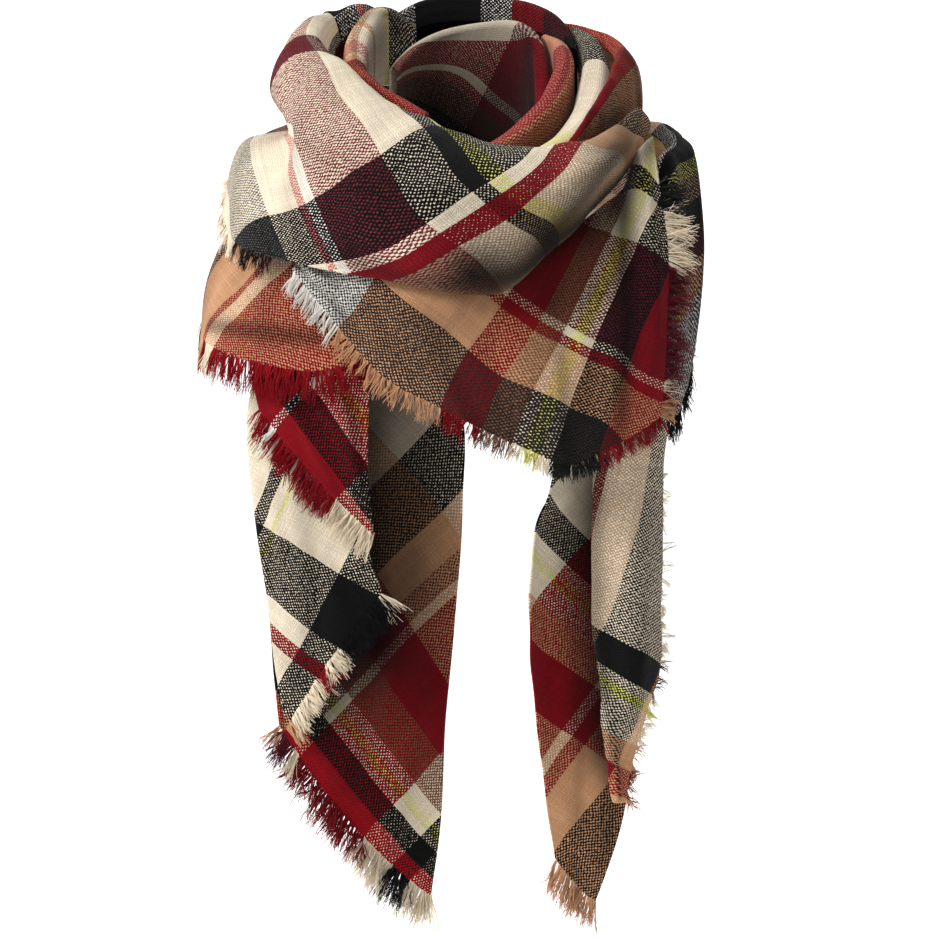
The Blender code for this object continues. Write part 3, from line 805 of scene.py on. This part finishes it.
RIGHT_ROLL_GRAIN = [
    (-21, -189, -7, -101, 15, -15, 65, 56, 112, 119),
    (15, -188, 26, -108, 50, -31, 85, 41, 117, 117),
    (49, -193, 60, -117, 83, -46, 109, 29, 124, 115),
]
RIGHT_ROLL_WARP = [(-40, "cream"), (-8, "red"), (0, "sand"), (34, "iron"), (100, "camel")]
RIGHT_ROLL_WEFT = [(-230, "cream"), (0, "black"), (26, "cream"), (33, "lime"), (41, "cream"), (69, "camel"),
                   (90, "red"), (112, "camel")]

# ----------------------------------------------------------
# Creases, a row to each: where it begins and ends (shares of the stretch, across and down), how far it bends
# from straight, its half width, its depth (below 0 a trough, above 0 a ridge), how much shade is painted in
# it.
# ----------------------------------------------------------

FOLDS = {
    "front_cowl": [
        (0.22, 0.62, 0.27, 0.92, 4, 10, -2.6), (0.30, 0.34, 0.33, 0.82, -3, 12, 2.5),
        (0.36, 0.55, 0.41, 0.95, 5, 9, -2), (0.40, 0.60, 0.66, 0.62, 9, 13, -2.2),
        (0.45, 0.78, 0.74, 0.76, 8, 12, 2.4), (0.48, 0.93, 0.66, 0.96, 2, 9, -1.5, 6),
        (0.64, 0.90, 0.98, 0.80, 6, 19, -3.5, 27), (0.88, 0.40, 0.76, 0.82, -6, 18, -3.6, 14),
        (0.79, 0.30, 0.70, 0.72, -4, 12, 2.2), (0.93, 0.15, 0.90, 0.60, 3, 10, -2, 4),
        (0.62, 0.20, 0.54, 0.50, 4, 10, -1.6), (0.30, 0.06, 0.52, 0.12, 2, 6, -1.2),
        (0.05, 0.25, 0.09, 0.85, 5, 11, -3), (0.13, 0.20, 0.17, 0.92, -4, 12, 2.6),
        (0.18, 0.45, 0.20, 0.95, 3, 8, -2.4),
    ],
    "bib": [
        (0.42, 0.02, 0.98, 0.05, 0, 13, -0.5, 13), (0.13, 0.16, 0.44, 0.10, -3, 10, 2.0),
        (0.44, 0.10, 0.72, 0.05, -3, 11, 2.2), (0.29, 0.38, 0.40, 0.97, 6, 11, -3.4),
        (0.20, 0.30, 0.28, 0.80, 4, 11, 2.6), (0.42, 0.30, 0.52, 0.92, 5, 13, 3.0),
        (0.55, 0.34, 0.66, 0.96, 4, 10, -3.2), (0.67, 0.22, 0.77, 0.86, 3, 12, 2.8),
        (0.80, 0.16, 0.84, 0.86, 4, 12, -4, 9), (0.93, 0.22, 0.955, 0.72, 2, 7, -2.5),
        (0.10, 0.45, 0.14, 0.92, 3, 8, -2), (0.885, 0.10, 0.90, 0.40, 1, 7, 2.0),
        (0.36, 0.14, 0.30, 0.50, -3, 8, -1.6),
    ],
    "under_drape": [
        (0.50, 0.84, 0.80, 0.76, -3, 5, -3.4, 8), (0.54, 0.94, 0.78, 0.90, -2, 5, 1.6),
        (0.50, 0.20, 0.58, 0.80, 5, 10, 3.0), (0.61, 0.20, 0.67, 0.74, 4, 9, -2.6),
        (0.72, 0.25, 0.75, 0.70, 3, 8, 2.0), (0.08, 0.15, 0.13, 0.92, 5, 10, -3),
        (0.22, 0.20, 0.27, 0.95, -4, 11, 3.2), (0.36, 0.12, 0.41, 0.90, 5, 9, -3),
        (0.88, 0.30, 0.90, 0.90, 2, 8, -2.4),
    ],
    "over_wrap": [
        (0.06, 0.20, 0.08, 0.92, 4, 10, -3.4, 6), (0.13, 0.12, 0.17, 0.90, -5, 12, 3.2),
        (0.20, 0.25, 0.24, 0.95, 6, 9, -3.6), (0.29, 0.10, 0.34, 0.82, 6, 13, 3.6),
        (0.40, 0.22, 0.43, 0.97, -7, 10, -4), (0.53, 0.12, 0.58, 0.78, 6, 14, 3.4),
        (0.65, 0.28, 0.69, 0.95, 5, 9, -3.6), (0.77, 0.16, 0.84, 0.84, -5, 12, 2.8),
        (0.89, 0.30, 0.93, 0.90, 4, 9, -2.6), (0.22, 0.36, 0.52, 0.28, 11, 8, -2.6),
        (0.40, 0.62, 0.80, 0.52, -9, 9, 2.4), (0.46, 0.80, 0.72, 0.86, 7, 8, -2.2),
    ],
    "under_wrap": [
        (0.10, 0.20, 0.13, 0.90, 3, 8, -2.4, 5), (0.20, 0.15, 0.23, 0.86, -3, 9, 2.4),
        (0.28, 0.30, 0.31, 0.92, 4, 8, -2.6, 5), (0.66, 0.22, 0.70, 0.90, 4, 9, -2.8),
        (0.76, 0.14, 0.80, 0.82, -4, 10, 2.6), (0.88, 0.20, 0.91, 0.94, 3, 8, -2.6),
    ],
    "outer_roll": [
        (0.08, 0.30, 0.80, 0.36, 3, 4, -1.2), (0.20, 0.62, 0.95, 0.58, -3, 5, 1.2),
        (0.0, 0.16, 1.0, 0.14, 0, 12, -0.6, 6), (0.1, 0.80, 1.0, 0.76, 0, 9, -0.6, 7),
    ],
    "inner_roll": [
        (0.05, 0.36, 0.75, 0.44, 3, 4, -1.2), (0.25, 0.58, 0.95, 0.50, -3, 4, 1.0),
        (0.0, 0.12, 1.0, 0.14, 0, 14, -0.6, 6), (0.1, 0.80, 1.0, 0.76, 0, 9, -0.6, 7),
    ],
    "left_roll": [
        (0.10, 0.46, 0.60, 0.42, 3, 3.5, -1.6, 5), (0.05, 0.33, 0.38, 0.30, -3, 5, 1.4),
        (0.14, 0.20, 0.34, 0.42, 3, 4, -1.6, 5), (0.40, 0.60, 0.80, 0.54, 2, 5, 1.2),
        (0.30, 0.18, 1.0, 0.14, 0, 14, -0.6, 8),
    ],
    "nape_wrap": [
        (0.30, 0.03, 0.98, 0.03, 3, 36, -1.5, 24), (0.62, 0.10, 0.72, 0.02, 2, 9, 1.5),
        (0.28, 0.02, 0.34, 0.24, 2, 12, -1.6, 9), (0.80, 0.12, 0.90, 0.02, 2, 7, -1.6, 5),
        (0.50, 0.23, 0.88, 0.20, 3, 4, 1.2), (0.10, 0.60, 0.90, 0.70, 4, 8, -1.6),
    ],
    "collar": [
        (0.05, 0.30, 0.20, 0.10, 2, 6, -1.2), (0.60, 0.12, 0.90, 0.10, 2, 6, -1.0),
        (0.15, 0.70, 0.85, 0.78, 4, 7, -1.6),
    ],
    "left_tail": [
        (0.56, 0.22, 0.56, 0.64, 2, 27, -6, 17), (0.56, 0.63, 0.20, 0.88, -6, 18, -5, 14),
        (0.80, 0.16, 0.84, 0.64, 3, 36, -1, 8), (0.92, 0.30, 0.93, 0.86, -3, 10, 2.6),
        (0.80, 0.52, 0.46, 0.93, 5, 9, -2.6), (0.70, 0.66, 0.48, 0.96, -3, 10, 2.4),
        (0.12, 0.30, 0.16, 0.80, 4, 11, -3), (0.30, 0.25, 0.34, 0.70, -4, 12, 3),
        (0.86, 0.78, 0.72, 0.97, 2, 7, -1.8),
    ],
    "left_flap": [
        (0.44, 0.50, 0.30, 0.90, -4, 10, -2.6, 4), (0.74, 0.36, 0.58, 0.76, 4, 11, 2.6),
        (0.90, 0.30, 0.97, 0.70, 2, 7, -2, 4), (0.14, 0.18, 0.06, 0.76, -3, 8, 2.2),
        (0.24, 0.30, 0.20, 0.70, 2, 7, -1.8), (0.05, 0.80, 0.25, 0.98, 2, 6, -1.8),
        (0.60, 0.62, 0.70, 0.95, 2, 7, -1.6),
    ],
    "left_tongue": [
        (0.36, 0.34, 0.76, 0.76, 3, 9, 2.6), (0.62, 0.12, 0.88, 0.55, 2, 8, -2.4),
        (0.20, 0.50, 0.66, 0.92, 2, 6, -1.8), (0.84, 0.40, 0.96, 0.84, 1, 6, -1.8, 5),
        (0.16, 0.14, 0.44, 0.46, -2, 7, -1.6),
    ],
    "right_tail": [
        (0.48, 0.26, 0.66, 0.80, 3, 15, -4, 16), (0.70, 0.76, 0.88, 0.92, 2, 9, -2.4, 5),
        (0.08, 0.46, 0.20, 0.84, 3, 8, 2.4), (0.26, 0.52, 0.38, 0.92, -3, 7, -1.8),
        (0.10, 0.32, 0.30, 0.46, 2, 7, -1.8), (0.80, 0.30, 0.84, 0.70, 3, 9, -2.6),
    ],
    "right_roll": [
        (0.05, 0.14, 0.07, 0.62, 1, 6, -1.6, 8), (0.40, 0.12, 0.34, 0.62, 2, 9, 2.4),
        (0.72, 0.28, 0.70, 0.70, 2, 7, -1.6), (0.20, 0.66, 0.46, 0.96, 2, 6, -2, 5),
        (0.60, 0.70, 0.66, 0.95, 1, 6, 1.6),
    ],
}

# Warp and weft of the stretches inside and behind the neck.
NECK = {
    "nape_wrap": ([(-90, "claret"), (140, "cream")],
                  [(-100, "jet"), (-20, "umber"), (2, "red"), (12, "cream"), (20, "red"), (52, "cream")]),
    "collar": ([(-20, "black"), (12, "claret"), (50, "red"), (86, "white"), (116, "black"), (176, "white")],
               [(-20, "black")]),
    "inner_roll": ([(-20, "russet"), (128, "camel")], [(-20, "rose"), (40, "camel"), (70, "black")]),
    "outer_roll": ([(-20, "lime"), (30, "cream"), (128, "black")], [(-20, "cream")]),
    "left_roll": ([(-20, "black"), (34, "lime"), (40, "cream"), (60, "camel"), (66, "cream"), (84, "rose"),
                   (98, "cream"), (102, "camel"), (108, "ruby")], [(-20, "cream"), (47, "camel")]),
    "under_wrap": ([(-20, "black"), (84, "umber"), (138, "camel"), (290, "red"), (340, "black"),
                    (400, "cream"), (460, "camel"), (530, "claret")],
                   [(-20, "ruby"), (25, "camel")]),
    "over_wrap": ([(-20, "black"), (180, "camel"), (260, "cream"), (340, "claret"), (430, "black"),
                   (500, "white"), (520, "black"), (572, "red"), (588, "black")],
                  [(-20, "white"), (12, "black"), (34, "lime"), (47, "sand"), (66, "black"), (84, "claret"),
                   (104, "camel"), (125, "white")]),
}


def straight_grain(long, wide):
    """A stretch that lies straight on the flat cloth."""
    return [[number for b in (0, 0.5, 1) for number in (a * long, b * wide)] for a in (0, 0.5, 1)]


NAPE_GRAIN = [
    (-46, 24, -28, 27, -10, 30, 8, 35, 26, 42, 30, 50, 30, 50),
    (16, 18, 34, 24, 52, 32, 70, 38, 88, 44, 92, 50, 96, 50),
    (78, -24, 96, -2, 114, 21, 132, 38, 150, 57, 160, 80, 164, 90),
    (140, -60, 158, -38, 176, -15, 194, 8, 212, 50, 220, 80, 224, 90),
    (202, -84, 220, -62, 238, -40, 256, -18, 274, 20, 282, 70, 286, 84),
]


cloth("front_cowl", "front_cowl", round_neck, FRONT_COWL, 220, 90, COWL_GRAIN, seed=3,
      warp=COWL_WARP, weft=COWL_WEFT)
cloth("bib", "bib", bib_form, BIB, 150, 90, BIB_GRAIN, seed=4, warp=BIB_WARP, weft=BIB_WEFT)
cloth("under_drape", "under_drape", round_neck, UNDER_DRAPE, 100, 50, DRAPE_GRAIN, seed=5,
      warp=DRAPE_WARP, weft=DRAPE_WEFT)
cloth("over_wrap", "over_wrap", round_neck, OVER_WRAP, 180, 70, straight_grain(619, 176),
      *NECK["over_wrap"], seed=6)
cloth("under_wrap", "under_wrap", round_neck, UNDER_WRAP, 220, 60, straight_grain(599, 115),
      *NECK["under_wrap"], seed=7)
cloth("outer_roll", "roll_right_outer", rolled, ROLL_OUTER, 90, 50, straight_grain(197, 94),
      *NECK["outer_roll"], ripple=0.5)
cloth("inner_roll", "roll_right_inner", rolled, ROLL_INNER, 110, 50, straight_grain(161, 92),
      *NECK["inner_roll"], ripple=0.5)
cloth("left_roll", "roll_left", rolled, ROLL_LEFT, 110, 50, straight_grain(218, 112),
      *NECK["left_roll"], ripple=0.5)
cloth("nape_wrap", "nape_wrap", rolled, NAPE_WRAP, 80, 60, NAPE_GRAIN, *NECK["nape_wrap"], ripple=0.5)
cloth("collar", "collar", rolled, COLLAR, 80, 50, straight_grain(207, 93), *NECK["collar"], ripple=0.4)
cloth("left_tail", "left_tail", hanging, LEFT_TAIL, 80, 180, LEFT_TAIL_GRAIN, seed=8,
      warp=LEFT_TAIL_WARP, weft=LEFT_TAIL_WEFT)
cloth("left_flap", "left_tail_flap", hanging, LEFT_FLAP, 60, 120, FLAP_GRAIN, seed=9,
      warp=FLAP_WARP, weft=FLAP_WEFT)
cloth("left_tongue", "left_tail_tongue", hanging, LEFT_TONGUE, 60, 60, TONGUE_GRAIN, seed=10,
      warp=TONGUE_WARP, weft=TONGUE_WEFT)
cloth("right_tail", "right_tail", hanging, RIGHT_TAIL, 60, 160, RIGHT_TAIL_GRAIN, seed=11,
      warp=RIGHT_TAIL_WARP, weft=RIGHT_TAIL_WEFT)
cloth("right_roll", "right_tail_roll", hanging, RIGHT_ROLL, 50, 140, RIGHT_ROLL_GRAIN, seed=12,
      warp=RIGHT_ROLL_WARP, weft=RIGHT_ROLL_WEFT)

frayed("cowl_fringe", "fringe_cowl", "front_cowl", "low", 0.0, 0.36, 420, 17, 0.2, "weft", 21)
frayed("under_drape_fringe", "fringe_under_drape", "under_drape", "low", 0.0, 1.0, 1300, 22, 0.7, "warp", 22,
       lift=0.15)
frayed("bib_left_fringe", "fringe_bib_left", "bib", "low", 0.0, 1.0, 1200,
       (18, 17, 14, 13, 15), 0.4, "warp", 23)
frayed("bib_right_fringe", "fringe_bib_right", "bib", "far", 0.22, 1.0, 900,
       (24, 26, 24, 18), 0.1, "weft", 24, spread=0.3, gather=0.7)
frayed("over_wrap_fringe", "fringe_over_wrap", "over_wrap", "low", 0.0, 1.0, 1700, 18, 0.5, "warp", 25)
frayed("under_wrap_fringe", "fringe_under_wrap", "under_wrap", "low", 0.66, 1.0, 500, 16, 0.5, "warp", 26)
frayed("left_tail_fringe", "fringe_left_tail", "left_tail", "low", 0.0, 1.0, 1300,
       (20, 26, 26, 28), 0.5, "weft", 27)
frayed("left_flap_fringe", "fringe_left_flap", "left_flap", "low", 0.0, 1.0, 1000,
       (20, 18, 20, 25), 0.3, "weft", 28)
frayed("left_tongue_fringe", "fringe_left_tongue", "left_tongue", "low", 0.0, 1.0, 760, 21, 0.5, "weft", 29,
       spread=0.22)
frayed("right_tail_fringe", "fringe_right_tail", "right_tail", "low", 0.0, 1.0, 320, 20, 0.9, "warp", 30)
frayed("right_roll_fringe", "fringe_right_roll", "right_roll", "far", 0.2, 1.0, 460,
       (12, 14, 17, 18), 0.2, "weft", 31, spread=0.5)

# ----------------------------------------------------------
# Backdrop, light and camera
# ----------------------------------------------------------


def backdrop():
    """A pale floor that curves up into a wall."""
    profile = [(-12.0, -0.82), (3.2, -0.82)]
    profile += [(3.2 + 1.2 * math.sin(a), -0.82 + 1.2 * (1 - math.cos(a)))
                for a in np.linspace(0.1, math.pi / 2, 14)]
    profile.append((4.4, 4.0))
    points = [(x, y, z) for y, z in profile for x in (-12.0, 12.0)]
    faces = [(2 * k, 2 * k + 1, 2 * k + 3, 2 * k + 2) for k in range(len(profile) - 1)]
    mesh = bpy.data.meshes.new("backdrop")
    mesh.from_pydata(points, [], faces)
    mat = bpy.data.materials.new("pale paper")
    mat.use_nodes = True
    shader = mat.node_tree.nodes["Principled BSDF"]
    shader.inputs["Base Color"].default_value = (0.93, 0.93, 0.93, 1)
    shader.inputs["Roughness"].default_value = 1.0
    shader.inputs["Emission Color"].default_value = (1, 1, 1, 1)
    shader.inputs["Emission Strength"].default_value = 0.5
    mesh.materials.append(mat)
    for face in mesh.polygons:
        face.use_smooth = True
    obj = bpy.data.objects.new("backdrop", mesh)
    bpy.context.collection.objects.link(obj)


backdrop()


def soft_light(name, place, aim, size, power):
    lamp = bpy.data.lights.new(name, "AREA")
    lamp.size = size
    lamp.energy = power
    obj = bpy.data.objects.new(name, lamp)
    obj.location = place
    obj.rotation_euler = (Vector(aim) - Vector(place)).to_track_quat("-Z", "Y").to_euler()
    bpy.context.collection.objects.link(obj)


soft_light("key", (-2.3, -1.5, 1.5), (0, -0.1, -0.2), 0.9, 92)
soft_light("fill", (0.2, -2.6, 0.7), (0, -0.1, -0.25), 1.4, 6)
soft_light("wall", (0, 0.6, 2.6), (0, 2.6, 0.2), 3.0, 60)

world = bpy.data.worlds.new("studio")
world.use_nodes = True
world.node_tree.nodes["Background"].inputs[0].default_value = (1, 1, 1, 1)
world.node_tree.nodes["Background"].inputs[1].default_value = 0.10
bpy.context.scene.world = world
bpy.context.scene.view_settings.view_transform = "Standard"

CAMERA_AIM = Vector((0.0088, -0.15, -0.255))
CAMERA_FAR = 2.8
CAMERA_RISE = 3.0
WIDTH_SEEN = 0.7504

lens = bpy.data.cameras.new("camera")
lens.sensor_fit = "HORIZONTAL"
lens.sensor_width = 36.0
lens.lens = 36.0 * CAMERA_FAR / WIDTH_SEEN
camera = bpy.data.objects.new("camera", lens)
rise = math.radians(CAMERA_RISE)
camera.location = CAMERA_AIM + Vector((0, -math.cos(rise), math.sin(rise))) * CAMERA_FAR
camera.rotation_euler = (math.pi / 2 - rise, 0, 0)
bpy.context.collection.objects.link(camera)
bpy.context.scene.camera = camera
